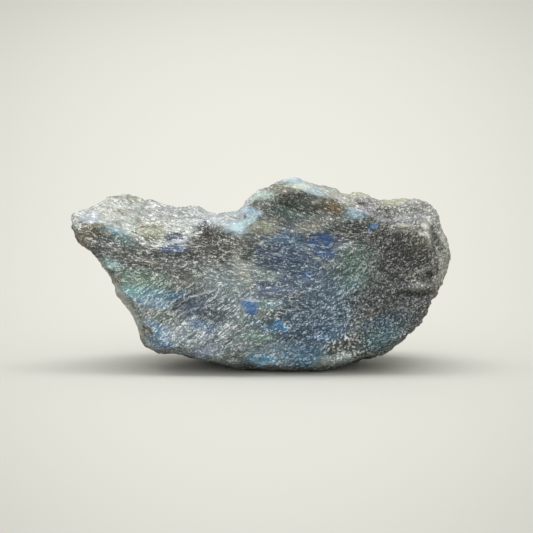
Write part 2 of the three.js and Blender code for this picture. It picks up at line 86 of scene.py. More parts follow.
def shown_at(x, y, deep):
    """The place [across, up along the lean] that a dot of the picture shows at a depth, to 0.1 mm."""
    dots = PLACE_DOTS * (1 - deep * MM / VIEW_DISTANCE)
    across = PICTURE_MIDDLE[0] + (x - PICTURE / 2) / dots
    up = PICTURE_MIDDLE[1] + (PICTURE / 2 - y) / dots
    return round(across, 1), round(up, 1)


def sight_tree(node):
    """The solid's faces, ready for lines of sight."""
    mesh = node.data
    return BVHTree.FromPolygons([v.co for v in mesh.vertices], [f.vertices[:] for f in mesh.polygons])


def depth_seen(tree, x, y):
    """The depth in millimetres of the solid's surface at a dot of the picture, or None beside the stone."""
    ray = Vector((x - PICTURE / 2, 0, 0)) + RISE * (PICTURE / 2 - y) - AWAY * (LENS / SENSOR * PICTURE)
    hit = tree.ray_cast(VIEW_AIM + AWAY * VIEW_DISTANCE, ray.normalized())[0]
    return None if hit is None else hit.y / MM


def placed_patches(tree):
    """The front's patches in millimetres, each as deep in the stone as the surface that it marks."""
    made = []
    for name, (x, y), (half_x, half_y), turn, tone, strength in PATCHES:
        c, s = math.cos(math.radians(turn)), math.sin(math.radians(turn))
        seen = []
        for a, b in ((0, 0), (SPREAD, 0), (-SPREAD, 0), (0, SPREAD), (0, -SPREAD)):
            side, down = a * half_x, b * half_y
            seen.append(depth_seen(tree, x + side * c + down * s, y - side * s + down * c))
        met = [depth for depth in seen if depth is not None] or [FRONT_DEPTH]
        near, far = min(met), max(met)
        deep = (near + far) / 2 if seen[0] is None else (near + far + seen[0]) / 3
        deep = round(deep, 1)
        half_deep = round(max(PATCH_DEPTH["least"], (far - near) / 2 + PATCH_DEPTH["spare"]), 1)
        across, up = shown_at(x, y, deep)
        size = (round(half_x / SIZE_DOTS, 1), half_deep, round(half_y / SIZE_DOTS, 1))
        made.append((name, (across, deep, up), size, turn, tone, strength))
    return made


# ---------- The stone's shape ----------

JOIN_WITHIN = 0.002 * MM  # how near the solid's loose corners lie to be one
GRAIN = 0.47 * MM  # the size of the fine mesh
GRAIN_ROUNDS = 4  # how often it is smoothed before its relief
FOOT_FADE = (0.4, 1.6)  # the relief grows over these heights in millimetres, so that the foot stays flat
# Where the rubbed face begins and is full: how far the stone faces the front, then millimetres forward.
RUBBED_FACING = (0.7, 0.92)
RUBBED_DEPTH = (6, 12)
CROWN_RISE = (38, 44)  # millimetres up along the lean where the crown's folds begin and are full
# Flat breaks: size in millimetres, tilt, and how many times longer they are each way.
ROUGH_BREAKS = ((3.4, 0.2, (1.7, 1, 1)), (1.6, 0.17, (1.5, 1, 1)))
RUBBED_BREAKS = (3.6, 0.34, (1.7, 1, 1))
BREAK_EDGE = 0.22
# Narrow grains: height, rise to the right in degrees, length and width in millimetres, and an own number.
SLANTED_LATHS = ((1, 42, 3.4, 0.8, 5), (0.6, 25, 2.2, 0.6, 9))
LEVEL_LATHS = ((1, -4, 3.6, 0.85, 2), (0.6, 12, 2, 0.6, 3))
EVEN_GRAINS = ((1, 0.8), (0.7, 0.5))  # height, and size in millimetres
CROWN_FOLDS = (math.radians(-24), 5.5, 2.1, 21)
FOLD_EDGE = 0.26
SEAMS = (math.radians(-3), 7, 1.7, 12)
SEAM_EDGE = 0.09
# How high each kind stands, in millimetres.
HEIGHTS = {"fibres": 0.14, "rough fibres": 0.07, "seams": -0.2, "breaks": 0.5, "folds": 0.3, "pits": 0.05}
ROUGH_SINK = 0.14  # how far the broken stone is set back to make room for its relief
PIT_SIZE = 1.1
FOLD_MIDDLE = 0.3
CREASE_SHARE = 0.8
# Creases: how far they wander and over what lengths, and their edge, in millimetres and shares of their width.
CREASE_BEND = {"reach": 0.5, "across": 1.9, "up": 1.7}
CREASE_EDGE = {"wider": 1.5, "more": 0.4, "flat": 0.2}
# Where parts of the relief begin and are full: how far the stone faces that way, or millimetres on the front.
WORN_EDGE = {"facing": (0.1, 0.5), "across": (22, 32), "up": (-42, -36), "gone": 0.5}
ROUGH_END = {"across": (22, 34), "up": (-34, -24), "more": 0.5}
LEVEL_FROM = (-12, 2)
EVEN_FROM = (20, 32)
FRONT = {"facing": (0.15, 0.5), "depth": (2, 8)}
SEAM_BAND = {"left": (-12, -2), "right": (-32, -22), "top": (-48, -42)}


def merged_copy(node, name):
    """The solid's mesh with its loose triangles joined."""
    shape = bmesh.new()
    shape.from_mesh(node.data)
    bmesh.ops.remove_doubles(shape, verts=shape.verts, dist=JOIN_WITHIN)
    mesh = bpy.data.meshes.new(name)
    shape.to_mesh(mesh)
    shape.free()
    item = bpy.data.objects.new(name, mesh)
    bpy.context.scene.collection.objects.link(item)
    return item


def fine_mesh(item, size):
    remesh = item.modifiers.new("fine mesh", "REMESH")
    remesh.mode = "VOXEL"
    remesh.voxel_size = size
    view = bpy.context.evaluated_depsgraph_get()
    mesh = bpy.data.meshes.new_from_object(item.evaluated_get(view))
    item.modifiers.clear()
    item.data = mesh


def smooth(x, low, high):
    t = min(max((x - low) / (high - low), 0), 1)
    return t * t * (3 - 2 * t)


def leaning(p):
    """A point in millimetres as (across, up along the lean, deep)."""
    up = p.z * math.cos(LEAN) + (p.y - FOOT_DEPTH) * math.sin(LEAN)
    return p.x, up, p.y


def rubbed(p, normal):
    """1 on the rubbed front face, falling to 0 on the broken stone round it."""
    return smooth(-normal.y, *RUBBED_FACING) * smooth(-p.y, *RUBBED_DEPTH)


def chips(p, size, tilt, stretch):
    """Small flat breaks: each cell of the stone is tilted its own way."""
    q = Vector((p.x / stretch[0], p.y / stretch[1], p.z / stretch[2])) / size
    distances, points = noise.voronoi(q)
    own = noise.cell_vector(points[0] * 7.3) - Vector((0.5, 0.5, 0.5))
    edge = smooth(distances[1] - distances[0], 0, BREAK_EDGE)
    return size * tilt * 2 * own.dot(q - points[0]) * edge


def laths(p, turn, length, width, shift):
    """Long narrow grains that lie along a direction on the front."""
    c, s = math.cos(turn), math.sin(turn)
    along = (p.x * c + p.z * s) / length
    over = (p.z * c - p.x * s) / width
    return noise.noise(Vector((along, over, p.y / width)) + Vector((shift, shift, shift)))


def folds(p, turn, length, width, shift):
    """Sharp-topped ridges that lie along a direction: 1 on their tops, 0 between them."""
    return smooth(abs(laths(p, turn, length, width, shift)), FOLD_EDGE, 0)


def bundle(p, kinds):
    """Several kinds of laths together."""
    return sum(height * laths(p, math.radians(turn), *rest) for height, turn, *rest in kinds)


# Cracks, creases and ridges of the front: two ends and half-width in dots of the picture, tone, how strongly
# it covers what is under it, and how far it stands out of the surface in millimetres.
# the dark tones of the sunken cracks, creases, pits and holes are partly their own colour, partly painted
# shade
CREASES = [
    ("dark crease by the slate hollow", (172, 310), (198, 288), 1.8, (51, 58, 61), 0.85, -0.3),
    ("pale ridge over the slate hollow", (178, 304), (192, 296), 0.8, (190, 194, 196), 0.6, 0.12),
    ("pale ridge's end", (190, 297), (209, 291), 0.9, (194, 198, 198), 0.6, 0.12),
    ("pale ridge in the slate hollow", (185, 312), (200, 307), 0.9, (162, 176, 186), 0.6, 0.1),
    ("dark foot of the slate hollow", (184, 316), (200, 312), 2.4, (47, 60, 75), 0.7, -0.2),
    ("pale rim of the beige", (150, 311), (176, 305), 0.8, (184, 188, 182), 0.45, 0.1),
    ("crack in the beige", (160, 322), (178, 313), 1.3, (78, 78, 70), 0.7, -0.25),
    ("low slanted crease", (196, 352), (232, 321), 1.3, (83, 92, 97), 0.45, -0.15),
    ("long slanted crease", (212, 358), (240, 330), 1.2, (87, 96, 99), 0.45, -0.12),
    ("low slanted ridge", (190, 350), (224, 322), 1.2, (185, 192, 197), 0.35, 0.1),
    ("long slanted ridge", (206, 354), (236, 326), 1.2, (185, 192, 195), 0.35, 0.1),
    ("short slanted crease", (178, 348), (198, 332), 1.1, (87, 96, 99), 0.5, -0.15),
    ("short slanted ridge", (170, 338), (186, 326), 1.1, (181, 190, 193), 0.4, 0.1),
    ("crease under the teal lump", (106, 270), (121, 275), 1.5, (70, 78, 72), 0.8, -0.3),
    ("pale line on the teal lump", (107, 266), (120, 261), 1.1, (172, 208, 210), 0.7, 0.1),
    ("crack under the brow", (120, 262), (160, 268), 1.4, (62, 62, 56), 0.7, -0.25),
    ("pale ridge under the brow", (132, 259), (158, 264), 1.3, (176, 176, 164), 0.6, 0.15),
    # partly painted shade in the pit
    ("dark pit in the brow", (170, 237), (178, 236), 2.4, (74, 82, 92), 0.85, -0.35),
    ("olive pit in the brow", (149, 238), (157, 237), 2, (104, 104, 84), 0.8, -0.3),
    ("white top of the lavender step", (166, 244), (186, 241), 1.2, (191, 197, 205), 0.7, 0.15),
    # blue flash, darkened with painted shade under the step
    ("blue with painted shade under the step", (160, 248), (188, 247), 1.7, (57, 80, 111), 0.8, -0.25),
    ("upper crack in the crown", (136, 228), (166, 227), 1.2, (122, 122, 104), 0.7, -0.2),
    ("crack in the crown", (134, 231), (150, 242), 1.3, (112, 110, 92), 0.7, -0.25),
    ("crack over the saddle", (175, 222), (204, 215), 1.2, (128, 132, 130), 0.6, -0.2),
    ("horn crack", (99, 206), (128, 216), 1.2, (136, 138, 126), 0.6, -0.2),
    ("shade under the lavender", (84, 225), (104, 224), 1.5, (122, 118, 96), 0.8, -0.2),
    # painted shade: near-black in the pit's crack
    ("painted shade in the crack of the pit", (205, 226), (208, 246), 2, (30, 29, 24), 0.8, -0.4),
    ("crack right of the pit", (214, 240), (240, 232), 1.3, (64, 64, 56), 0.7, -0.25),
    ("crease at the flank's foot", (240, 236), (262, 233), 1.4, (92, 92, 78), 0.7, -0.2),
    ("pale streak in the haze", (266, 253), (284, 257), 1, (180, 182, 182), 0.55, 0.1),
    ("diagonal vein", (297, 243), (331, 269), 1.4, (172, 176, 166), 0.65, 0.12),
    ("pale blue streak", (338, 247), (353, 244), 1.6, (153, 172, 185), 0.75, 0.12),
    ("upper seam", (262, 262), (306, 264), 1.2, (48, 64, 88), 0.7, -0.2),
    ("middle seam", (272, 270), (326, 277), 1.3, (52, 70, 90), 0.7, -0.2),
    ("low seam", (256, 286), (300, 284), 1.2, (60, 78, 98), 0.7, -0.2),
    ("white edge of the vivid blue", (243, 300), (258, 301), 1.1, (204, 208, 208), 0.7, 0.12),
    ("seam at the foot", (262, 342), (310, 336), 1.3, (64, 78, 86), 0.6, -0.2),
    ("dark wisp in the scoop", (275, 203), (312, 214), 1.6, (60, 68, 60), 0.5, -0.25),
    ("pale wisp in the scoop", (282, 209), (316, 221), 1.3, (116, 134, 134), 0.45, 0.1),
    ("faint line on the dark facet", (311, 206), (320, 197), 0.5, (120, 120, 112), 0.5, 0.05),
    ("upper streak of the ledge", (344, 207), (374, 216), 1.3, (172, 198, 210), 0.7, 0.15),
    ("lower streak of the ledge", (339, 220), (362, 218), 1.3, (156, 184, 194), 0.65, 0.12),
    ("crack in the knob", (350, 207), (362, 203), 1.3, (88, 84, 84), 0.7, -0.25),
    # painted shade in the hole in the shelf
    ("painted shade in the shelf's hole", (388, 217), (392, 217), 1.6, (72, 68, 66), 0.8, -0.3),
    ("crack across the shelf", (376, 209), (410, 216), 1.2, (96, 96, 92), 0.6, -0.2),
    ("white spots over the charcoal", (392, 225), (414, 227), 1.6, (206, 204, 194), 0.65, 0.15),
    ("white lump on the rim", (423, 225), (429, 227), 2.4, (216, 217, 211), 0.85, 0.25),
    ("white lump under the top of the rim", (416, 231), (423, 236), 1.7, (204, 204, 196), 0.75, 0.2),
    ("white ridge of the rim", (426, 232), (430, 244), 1.5, (204, 205, 197), 0.75, 0.18),
    ("white ridge of the end", (441, 232), (446, 244), 1.6, (200, 201, 195), 0.7, 0.15),
    ("low white ridge of the end", (436, 258), (438, 276), 1.5, (196, 197, 190), 0.65, 0.15),
    ("dark facet behind the rim", (433, 226), (437, 242), 2.4, (88, 90, 84), 0.85, -0.3),
    # partly painted shade in the pit
    ("dark pit in the end", (440, 240), (442, 250), 2, (92, 93, 87), 0.75, -0.3),
    ("dark crease by the end", (433, 246), (437, 272), 2, (84, 84, 78), 0.8, -0.3),
    # painted shade: near-black in the hole beside the rim
    ("painted shade in the rim's hole", (427, 272), (430, 276), 3, (30, 30, 27), 1, -0.6),
    ("pale lip by the hole", (414, 274), (427, 268), 1.6, (172, 172, 166), 0.7, 0.15),
    # painted shadow cast by the ledge above
    ("painted shadow under the ledge", (408, 292), (429, 294), 1.4, (62, 62, 58), 0.6, -0.2),
    ("pale streak of the right", (359, 306), (367, 309), 1.5, (168, 167, 167), 0.5, 0.1),
    ("pale spot of the right", (370, 309), (374, 308), 1.3, (172, 171, 171), 0.5, 0.1),
    ("slanted streak of the right", (352, 332), (364, 321), 1.2, (172, 174, 168), 0.4, 0.1),
    ("crack over the teal", (350, 322), (380, 312), 1.3, (60, 64, 64), 0.6, -0.2),
]
CREASE_DEPTH = -16


def placed_creases():
    """The creases with their ends [across, up along the lean] and half-widths in millimetres."""
    made = []
    for name, start, end, width, tone, strength, rise in CREASES:
        ends = shown_at(*start, CREASE_DEPTH), shown_at(*end, CREASE_DEPTH)
        made.append((name, *ends, round(width / SIZE_DOTS, 2), tone, strength, rise))
    return made


PLACED_CREASES = placed_creases()


def seam_band(across, up):
    """1 in the middle of the face, where long level seams run."""
    side = smooth(across, *SEAM_BAND["left"]) * smooth(-across, *SEAM_BAND["right"])
    return side * smooth(-up, *SEAM_BAND["top"])


def creased(p, across, up):
    """The cracks, creases and ridges of the front, in millimetres out of the surface."""
    across += CREASE_BEND["reach"] * noise.noise(p / CREASE_BEND["across"])
    up += CREASE_BEND["reach"] * noise.noise(p / CREASE_BEND["up"] + Vector((9, 9, 9)))
    height = 0
    for _, start, end, width, _, _, rise in PLACED_CREASES:
        along_x, along_y = end[0] - start[0], end[1] - start[1]
        run = along_x * along_x + along_y * along_y
        share = min(max(((across - start[0]) * along_x + (up - start[1]) * along_y) / run, 0), 1)
        off = math.hypot(across - start[0] - share * along_x, up - start[1] - share * along_y)
        reach = CREASE_EDGE["wider"] * width + CREASE_EDGE["more"]
        if off < reach:
            height += rise * smooth(-off, -reach, -CREASE_EDGE["flat"] * reach)
    return height


def relief(p, normal):
    """How far the finished surface stands out from the solid's, in millimetres."""
    face = rubbed(p, normal)
    across, up, deep = leaning(p)
    # laths slant on the left, lie level in the middle and give way to even grains on the right
    lie = smooth(-across, *LEVEL_FROM)
    right = smooth(across, *EVEN_FROM)
    even = sum(height * noise.noise(p / size) for height, size in EVEN_GRAINS)
    fibres = bundle(p, SLANTED_LATHS) * lie + bundle(p, LEVEL_LATHS) * (1 - lie)
    fibres = fibres * (1 - right) + even * right
    seams = smooth(abs(laths(p, *SEAMS)), SEAM_EDGE, 0) * seam_band(across, up)
    worn = HEIGHTS["fibres"] * fibres + HEIGHTS["seams"] * seams
    worn += HEIGHTS["breaks"] * chips(p, *RUBBED_BREAKS)

    rough = sum(chips(p, *kind) for kind in ROUGH_BREAKS)
    rough += (
        HEIGHTS["folds"] * (folds(p, *CROWN_FOLDS) - FOLD_MIDDLE) * smooth(up, *CROWN_RISE)
        + HEIGHTS["pits"] * noise.noise(p / PIT_SIZE)
        - ROUGH_SINK
    )
    worn_edge = smooth(-normal.x, *WORN_EDGE["facing"]) * smooth(-across, *WORN_EDGE["across"])
    worn_edge *= smooth(-up, *WORN_EDGE["up"])
    rough_end = smooth(across, *ROUGH_END["across"]) * smooth(-up, *ROUGH_END["up"])
    rough *= 1 - WORN_EDGE["gone"] * worn_edge + ROUGH_END["more"] * rough_end

    front = smooth(-normal.y, *FRONT["facing"]) * smooth(-deep, *FRONT["depth"])
    height = worn * face + (rough + HEIGHTS["rough fibres"] * fibres) * (1 - face)
    return height + CREASE_SHARE * front * creased(p, across, up)


def stone_piece(node):
    item = merged_copy(node, "labradorite")
    fine_mesh(item, GRAIN)
    shape = bmesh.new()
    shape.from_mesh(item.data)
    for _ in range(GRAIN_ROUNDS):
        bmesh.ops.smooth_vert(
            shape, verts=shape.verts, factor=0.5, use_axis_x=True, use_axis_y=True, use_axis_z=True
        )
    shape.normal_update()
    moves = []
    for v in shape.verts:
        p = v.co / MM
        held = smooth(p.z, *FOOT_FADE)
        moves.append(v.normal * (relief(p, v.normal) * MM * held))
    for v, move in zip(shape.verts, moves):
        v.co += move
        v.co.z = max(v.co.z, 0)
    for face in shape.faces:
        face.smooth = True
    shape.to_mesh(item.data)
    shape.free()
    return item


# ---------- The stone's finish ----------


def linear(tone):
    return tuple(((v / 255 + 0.055) / 1.055) ** 2.4 if v > 10 else v / 255 / 12.92 for v in tone)


NODE_STEP = (180, -260)
NODE_ROWS = 12


class Finish:
    """A material's nodes, made one line at a time."""

    def __init__(self, name):
        self.material = bpy.data.materials.new(name)
        self.material.use_nodes = True
        self.tree = self.material.node_tree
        self.shader = self.tree.nodes["Principled BSDF"]
        self.count = 0

    def node(self, kind, inputs=None, **settings):
        made = self.tree.nodes.new(kind)
        self.count += 1
        made.location = (NODE_STEP[0] * (self.count // NODE_ROWS), NODE_STEP[1] * (self.count % NODE_ROWS))
        for key, value in settings.items():
            setattr(made, key, value)
        for key, value in (inputs or {}).items():
            self.put(made.inputs[key], value)
        return made

    def put(self, socket, value):
        if isinstance(value, bpy.types.NodeSocket):
            self.tree.links.new(value, socket)
        else:
            socket.default_value = value

    def sum(self, operation, a, b=0.0, c=0.0, clamp=False):
        made = self.node("ShaderNodeMath", {0: a, 1: b, 2: c}, operation=operation)
        made.use_clamp = clamp
        return made.outputs[0]

    def vector(self, operation, a, b, c=(0, 0, 0)):
        return self.node("ShaderNodeVectorMath", {0: a, 1: b, 2: c}, operation=operation).outputs[0]

    def parts(self, vector):
        """The vector's across, deep and up."""
        return self.node("ShaderNodeSeparateXYZ", {0: vector}).outputs

    def between(self, value, low, high, out_low=0.0, out_high=1.0, soft=True):
        made = self.node(
            "ShaderNodeMapRange",
            {"Value": value, "From Min": low, "From Max": high, "To Min": out_low, "To Max": out_high},
        )
        made.interpolation_type = "SMOOTHSTEP" if soft else "LINEAR"
        return made.outputs[0]

    def blend(self, share, a, b, way="MIX"):
        made = self.node("ShaderNodeMix", data_type="RGBA", blend_type=way)
        self.put(made.inputs[0], share)
        self.put(made.inputs[6], a if isinstance(a, bpy.types.NodeSocket) else (*a, 1))
        self.put(made.inputs[7], b if isinstance(b, bpy.types.NodeSocket) else (*b, 1))
        return made.outputs[2]

    def blend_number(self, share, a, b):
        made = self.node("ShaderNodeMix", data_type="FLOAT")
        self.put(made.inputs[0], share)
        self.put(made.inputs[2], a)
        self.put(made.inputs[3], b)
        return made.outputs[0]

    def blend_vector(self, share, a, b):
        made = self.node("ShaderNodeMix", data_type="VECTOR")
        self.put(made.inputs[0], share)
        self.put(made.inputs[4], a)
        self.put(made.inputs[5], b)
        return made.outputs[1]

    def mapping(self, vector, at=(0, 0, 0), turn=(0, 0, 0), size=(1, 1, 1)):
        """The vector as seen from a box at a place, turned and sized."""
        made = self.node(
            "ShaderNodeMapping",
            {"Vector": vector, "Location": at, "Rotation": turn, "Scale": size},
            vector_type="TEXTURE",
        )
        return made.outputs[0]

    def cloud(self, vector, size, detail=2.0, colour=False, rough=0.5):
        made = self.node(
            "ShaderNodeTexNoise",
            {"Vector": vector, "Scale": 1 / size, "Detail": detail, "Roughness": rough},
        )
        return made.outputs["Color" if colour else "Fac"]

    def warped(self, vector, clouds):
        """The vector pushed about by soft clouds, one after another."""
        for size, reach, detail in clouds:
            push = self.cloud(vector, size, detail, colour=True)
            push = self.vector("SUBTRACT", push, (0.5, 0.5, 0.5))
            vector = self.vector("MULTIPLY_ADD", push, (2 * reach,) * 3, vector)
        return vector


# Colour patches of the front, placed by the dots of the camera's picture: middle, half-sizes, the rise to the
# right in degrees, tone, and how strongly each one covers what is under it.
PATCHES = [
    # broad zones of the rubbed face
    ("left of the face", (148, 292), (62, 46), 0, (116, 121, 116), 0.9),
    ("shade under the brow", (165, 263), (64, 13), 0, (94, 97, 94), 0.9),
    # painted shade below the lavender step
    ("painted shade under the lavender step", (190, 254), (20, 9), 0, (58, 60, 60), 0.8),
    ("grey fibres", (205, 337), (48, 32), 0, (151, 160, 165), 0.95),
    ("grey middle", (228, 290), (30, 38), 0, (137, 149, 151), 0.95),
    ("slate fibres", (213, 317), (17, 12), 40, (90, 102, 110), 0.85),
    ("dark middle top", (216, 248), (28, 18), 0, (74, 74, 68), 0.95),
    ("slate haze", (295, 264), (45, 40), 0, (85, 103, 120), 1),
    ("slate middle", (288, 306), (19, 16), 0, (86, 101, 112), 0.85),
    ("pale lie", (243, 265), (10, 20), 10, (165, 169, 160), 0.85),
    ("steel blue", (335, 300), (30, 30), 0, (94, 117, 132), 0.95),
    ("blue lower middle", (312, 336), (40, 28), 0, (80, 103, 121), 0.95),
    ("grey foot", (240, 345), (24, 22), 0, (121, 132, 131), 0.8),
    ("charcoal right", (396, 254), (42, 40), 0, (38, 39, 35), 1),
    ("charcoal lower right", (384, 300), (36, 25), 0, (70, 74, 76), 0.95),
    ("grey lower right", (402, 326), (22, 17), 40, (86, 93, 95), 0.85),
    ("green patch", (354, 266), (21, 25), 0, (84, 108, 103), 0.9),
    ("light green-blue", (350, 286), (14, 8), 10, (101, 126, 131), 0.75),
    ("beige specks", (346, 350), (27, 17), 20, (92, 99, 95), 0.95),
    ("teal patch", (381, 336), (19, 15), 30, (70, 102, 110), 0.9),
    ("steel seam", (381, 322), (22, 6), 10, (46, 75, 91), 0.85),
    # flashes of the middle
    ("blue cap of the haze", (286, 239), (22, 8), 0, (103, 131, 155), 0.85),
    ("indigo lines", (284, 253), (24, 9), 0, (76, 94, 118), 0.85),
    ("royal blue", (324, 238), (17, 7), 0, (41, 84, 131), 1),
    ("royal blue below", (324, 251), (14, 8), 0, (57, 90, 127), 0.85),
    ("blue bit", (306, 275), (8, 4), 0, (77, 112, 153), 0.8),
    ("greenish beige", (265, 275), (16, 7), 0, (137, 151, 147), 0.9),
    ("indigo middle", (272, 290), (22, 6), 0, (120, 132, 152), 0.8),
    ("vivid blue", (249, 304), (9, 5), 0, (54, 104, 152), 0.92),
    ("vivid blue below", (250, 311), (7, 4), -10, (62, 106, 152), 0.85),
    ("pale mint", (270, 305), (13, 5), 0, (133, 157, 160), 0.8),
    ("teal middle", (262, 323), (18, 5), 0, (88, 116, 126), 0.8),
    ("sky blue foot", (272, 328), (10, 4), 10, (77, 122, 151), 0.8),
    ("sky blue foot's end", (281, 325), (7, 4), -20, (81, 136, 171), 0.8),
    ("olive streak", (258, 337), (17, 4), 0, (126, 151, 147), 0.85),
    ("cyan foot", (272, 355), (24, 10), 0, (142, 166, 178), 0.75),
    ("bright cyan foot", (262, 361), (13, 5), 0, (121, 170, 197), 0.75),
    ("blue foot", (308, 358), (20, 9), 0, (96, 132, 154), 0.8),
    ("blue right of the foot", (328, 333), (18, 8), 20, (76, 104, 128), 0.8),
    ("beige foot", (334, 361), (18, 6), 10, (172, 182, 180), 0.85),
    # flashes of the left
    ("teal shoulder", (107, 262), (11, 9), 0, (116, 138, 136), 0.8),
    ("teal lump", (112, 267), (9, 6), 0, (144, 168, 164), 0.85),
    ("green-grey band", (145, 278), (32, 9), -10, (104, 127, 115), 0.9),
    ("light green band", (136, 281), (16, 5), -10, (132, 152, 138), 0.8),
    ("cyan band", (134, 292), (15, 7), -10, (140, 178, 178), 0.9),
    ("blue-green band", (158, 294), (24, 7), -10, (118, 150, 158), 0.85),
    ("blue band", (152, 302), (20, 7), -10, (132, 158, 176), 0.85),
    ("blue band's end", (178, 295), (14, 7), 0, (93, 122, 145), 0.8),
    ("slate hollow", (191, 306), (19, 11), 20, (68, 79, 95), 0.95),
    ("olive beige", (164, 317), (22, 8), -10, (127, 136, 133), 0.9),
    ("blue left of the beige", (149, 325), (8, 5), 0, (140, 162, 174), 0.8),
    ("blue low left", (156, 337), (13, 12), -30, (123, 152, 173), 0.9),
    ("vivid low left", (167, 345), (6, 4), 0, (110, 138, 168), 0.8),
    ("grey above the foot", (190, 338), (18, 9), 30, (138, 151, 156), 0.8),
    ("blue seam", (201, 325), (14, 6), -20, (114, 134, 156), 0.75),
    ("lavender foot", (205, 352), (18, 6), 20, (145, 158, 175), 0.75),
    # the horn, the brow and the saddle
    ("greenish horn top", (125, 199), (21, 6), 0, (150, 155, 140), 0.8),
    ("pale facet of the horn", (114, 213), (18, 7), -10, (200, 200, 190), 0.7),
    ("grey knob", (155, 201), (10, 4), 0, (133, 138, 143), 0.8),
    ("olive crown", (150, 231), (20, 8), -10, (158, 158, 136), 0.7),
    ("lavender horn", (89, 219), (10, 5), 0, (176, 182, 196), 0.85),
    ("brown under the horn", (85, 236), (14, 13), 0, (110, 104, 88), 1),
    ("dark brown edge", (92, 250), (13, 5), -30, (70, 64, 52), 0.85),
    # grey, darkened with painted shade on the horn's underside
    ("grey with painted shade under the horn", (107, 243), (13, 13), 0, (84, 89, 87), 0.9),
    ("beige under the horn", (106, 231), (8, 4), -20, (126, 124, 112), 0.75),
    ("light blue stripe", (117, 230), (13, 4), -20, (161, 198, 211), 0.9),
    ("teal under the stripe", (124, 240), (13, 6), -30, (93, 122, 123), 0.8),
    ("lavender brow", (177, 240), (14, 6), 0, (106, 116, 128), 0.8),
    ("blue under the brow", (172, 249), (15, 4), 0, (79, 102, 131), 0.85),
    ("lavender saddle", (207, 221), (16, 6), 0, (177, 182, 189), 0.7),
    ("grey facet of the saddle", (176, 213), (20, 8), 0, (146, 150, 151), 0.75),
    # painted shade filling the pit of the brow
    ("painted shade in the pit", (206, 235), (9, 12), 0, (46, 45, 38), 0.95),
    ("blue saddle bump", (233, 210), (6, 2.5), 0, (155, 190, 209), 0.85),
    # the peak, its flank and the scoop under it
    # green-grey, darkened with painted shade in the scoop under the peak's overhang
    ("green-grey with painted shade in the scoop", (292, 208), (32, 16), -10, (87, 98, 90), 1),
    ("grey-beige top of the scoop", (283, 190), (18, 9), 0, (126, 126, 112), 0.95),
    ("blue-green scoop", (283, 212), (20, 7), -10, (92, 111, 106), 0.8),
    ("olive round the stain", (326, 204), (17, 9), -10, (80, 76, 50), 0.9),
    ("brown stain", (335, 208.5), (15, 8), -10, (92, 78, 38), 0.95),
    ("amber in the stain", (336, 209), (10, 6), -10, (122, 98, 48), 0.88),
    ("dark facet by the stain", (315, 206), (7, 8), 20, (56, 56, 50), 0.9),
    ("beige lip", (308, 228), (17, 6), 10, (132, 130, 116), 0.9),
    ("beige lip left", (263, 226), (18, 8), 0, (152, 159, 138), 0.85),
    ("grey flake", (253, 229), (8, 4), 0, (134, 130, 122), 0.8),
    ("dark green hollow", (247, 255), (10, 6), -30, (61, 80, 75), 0.8),
    ("dark green right of the scoop", (350, 227), (24, 10), 0, (48, 58, 54), 0.95),
    ("cyan flank", (248, 222), (12, 5), 20, (182, 204, 206), 0.85),
    ("sky blue brow", (237, 230), (15, 7), -10, (180, 202, 210), 0.9),
    ("sky blue flank", (253, 213), (11, 5), -10, (178, 204, 220), 0.82),
    ("red fleck", (245, 216), (2, 2), 0, (104, 70, 60), 0.9),
    ("mint flank", (262, 196.5), (11.5, 5.5), 10, (178, 194, 186), 0.88),
    ("blue peak", (291, 180), (14, 4.5), 0, (182, 204, 216), 0.9),
    ("pale rim over the scoop", (301, 187.5), (12, 4.5), -10, (204, 210, 200), 0.88),
    ("blue rim", (311, 192), (13, 3), -10, (170, 190, 198), 0.8),
    ("grey rim", (336, 197), (14, 5), -30, (176, 178, 172), 0.8),
    # the shelf and the thick end
    ("blue ledge", (354, 214), (13, 5), -10, (146, 176, 190), 0.9),
    ("violet-grey knob", (365, 208), (13, 9), -10, (126, 123, 125), 0.85),
    ("small vivid blue", (372, 228), (7, 2.8), 30, (66, 120, 168), 0.95),
    ("yellow-green shelf", (357, 195), (15, 5), 0, (176, 176, 150), 0.85),
    ("yellow-green knob", (392, 202), (17, 6), 0, (168, 168, 142), 0.85),
    ("grey band of the shelf", (405, 219), (28, 5), 0, (156, 157, 160), 0.8),
    ("dark shelf", (415, 209), (15, 4.5), 0, (100, 100, 94), 0.85),
    ("light above the charcoal", (408, 230), (18, 5), 0, (122, 122, 110), 0.8),
    ("olive by the rim", (418, 241), (9, 14), 0, (86, 84, 68), 0.8),
    ("grey thick end", (443, 252), (13, 44), 0, (142, 142, 134), 0.95),
    ("light thick end", (443, 272), (10, 13), 0, (172, 172, 165), 0.7),
    ("pale top of the rim", (427, 226), (8, 6), 0, (184, 184, 177), 0.8),
    ("bright rim", (429, 238), (4, 12), 0, (166, 168, 160), 0.6),
    ("brown below the end", (437, 289), (6, 6), 0, (116, 102, 80), 0.7),
    ("bright ledge", (421, 287), (11, 4.5), 0, (138, 139, 135), 0.9),
    ("brown side", (127, 308), (44, 4.5), -60, (164, 165, 158), 0.85),
    ("olive chip on the edge", (114, 277), (6, 4), -60, (112, 108, 92), 0.9),
    ("olive edge low", (146, 331), (6, 5), -50, (100, 98, 86), 0.85),
]
# Those of the back: middle [across, deep, up along the lean] and half-sizes in millimetres, then the same.
BACK_PATCHES = [
    ("blue flash behind", (14, 18, 30), (13, 8, 5), 20, (84, 104, 130), 0.65),
    ("teal flash behind", (-20, 16, 28), (12, 8, 4), -10, (96, 120, 116), 0.6),
    ("brown stain behind", (34, 14, 36), (9, 8, 4), -20, (110, 98, 78), 0.55),
    ("pale vein behind", (-2, 18, 18), (20, 8, 2), 10, (168, 170, 162), 0.7),
    ("charcoal behind", (-6, 18, 40), (16, 9, 7), 10, (84, 86, 82), 0.8),
    ("green-grey behind", (28, 17, 14), (14, 9, 8), -20, (108, 120, 110), 0.7),
]

